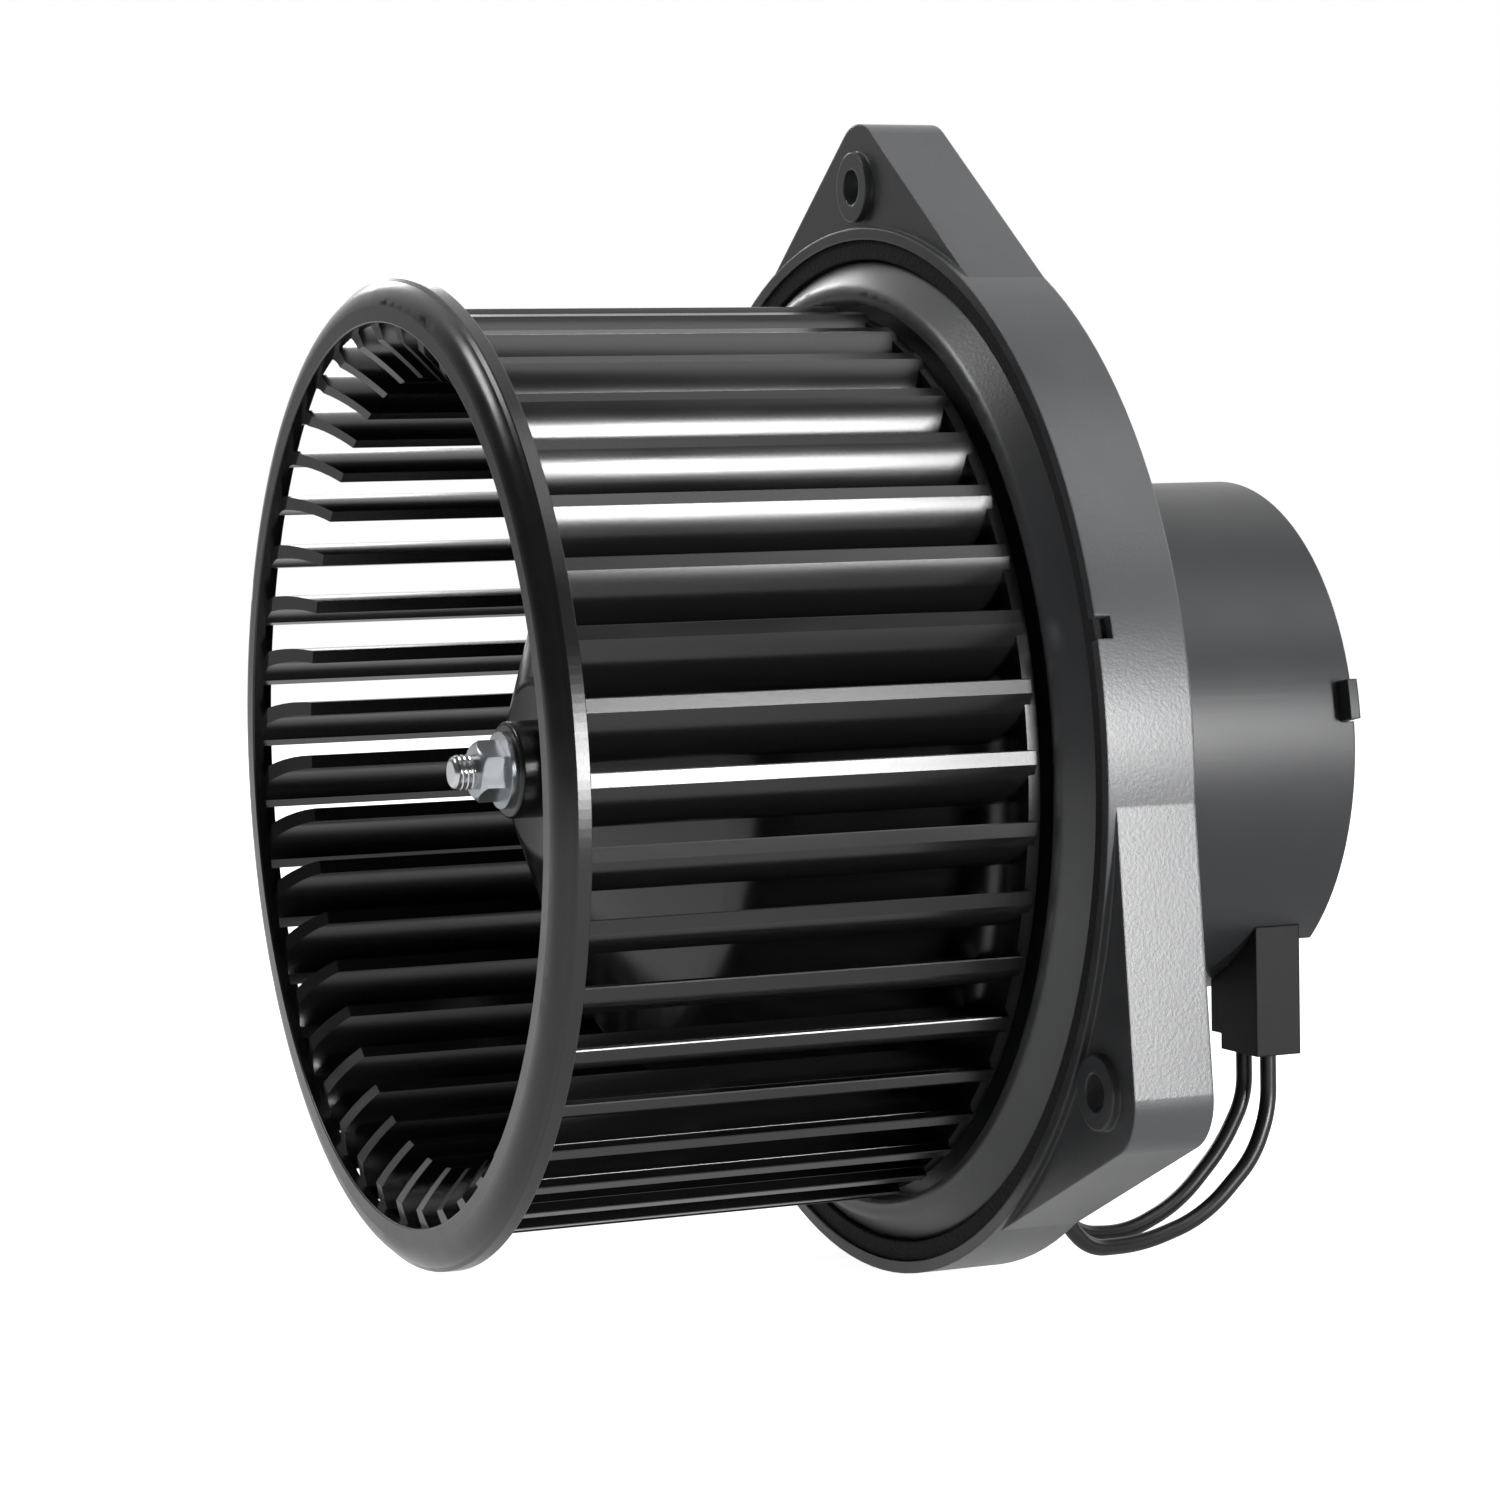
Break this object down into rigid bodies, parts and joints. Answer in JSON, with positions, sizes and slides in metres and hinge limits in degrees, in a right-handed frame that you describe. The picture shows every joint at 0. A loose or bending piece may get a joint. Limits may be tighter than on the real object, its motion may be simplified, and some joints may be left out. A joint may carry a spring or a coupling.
{
  "type": "blower motor",
  "caption": "Squirrel-cage fan wheel on a small brushed motor, held in a round moulded flange with pointed screw lugs, with a short wired connector block.",
  "frame": {"origin": "centre of the circle through the three flange screw holes, on the plane of the screw pads that meet the air box", "axes": "+X along the shaft towards the motor's tail, with the air inlet at -X; +Z through the upper screw lug; +Y sideways"},
  "size_m": [0.1446, 0.1676, 0.1753],
  "materials": {
    "wheel_plastic": "satin black moulded plastic",
    "flange_plastic": "satin dark grey moulded plastic",
    "connector_plastic": "satin black",
    "insulating_plastic": "brown phenolic, matt",
    "seal_foam": "matt black foam",
    "isolator_rubber": "matt",
    "shell_steel": "dark grey coated steel, satin",
    "plated_steel": "zinc plated, satin",
    "shaft_steel": "ground",
    "core_steel": "laminated, bare",
    "spring_steel": "bare spring steel",
    "copper_wire": "enamelled copper",
    "commutator_copper": "turned copper",
    "bearing_bronze": "sintered bronze",
    "terminal_brass": "stamped brass",
    "brush_carbon": "carbon, matt",
    "ferrite": "ground ferrite, matt",
    "lead_insulation": "black wire insulation, slightly shiny"
  },
  "bodies": {
    "housing": {"flange": "flange_plastic", "flange_seal": "seal_foam", "motor_can": "shell_steel", "tail_cap": "shell_steel", "bearing_front": "bearing_bronze", "bearing_rear": "bearing_bronze", "bearing_retainer_front": "spring_steel", "bearing_retainer_rear": "spring_steel", "magnet_upper": "ferrite", "magnet_lower": "ferrite", "magnet_clips": "spring_steel", "brush_card": "insulating_plastic", "brush_upper": "brush_carbon", "brush_lower": "brush_carbon", "brush_spring_upper": "spring_steel", "brush_spring_lower": "spring_steel", "motor_bracket": "shell_steel", "isolators": "isolator_rubber", "motor_screws": "plated_steel", "connector_block": "connector_plastic", "block_terminals": "terminal_brass", "lead_outer": "lead_insulation", "lead_inner": "lead_insulation", "lead_socket": "connector_plastic", "socket_pins": "terminal_brass"},
    "rotor": {"fan_wheel": "wheel_plastic", "hub_washer": "plated_steel", "hub_nut": "plated_steel", "shaft": "shaft_steel", "armature_core": "core_steel", "armature_windings": "copper_wire", "core_spider_front": "insulating_plastic", "core_spider_rear": "insulating_plastic", "commutator": "commutator_copper", "thrust_washer_front": "insulating_plastic", "thrust_washer_rear": "insulating_plastic"}
  },
  "joints": [
    {"name": "rotor_spin", "type": "hinge", "parent": "housing", "child": "rotor", "pos_m": [0, 0, 0], "axis": [1, 0, 0], "continuous": true}
  ]
}
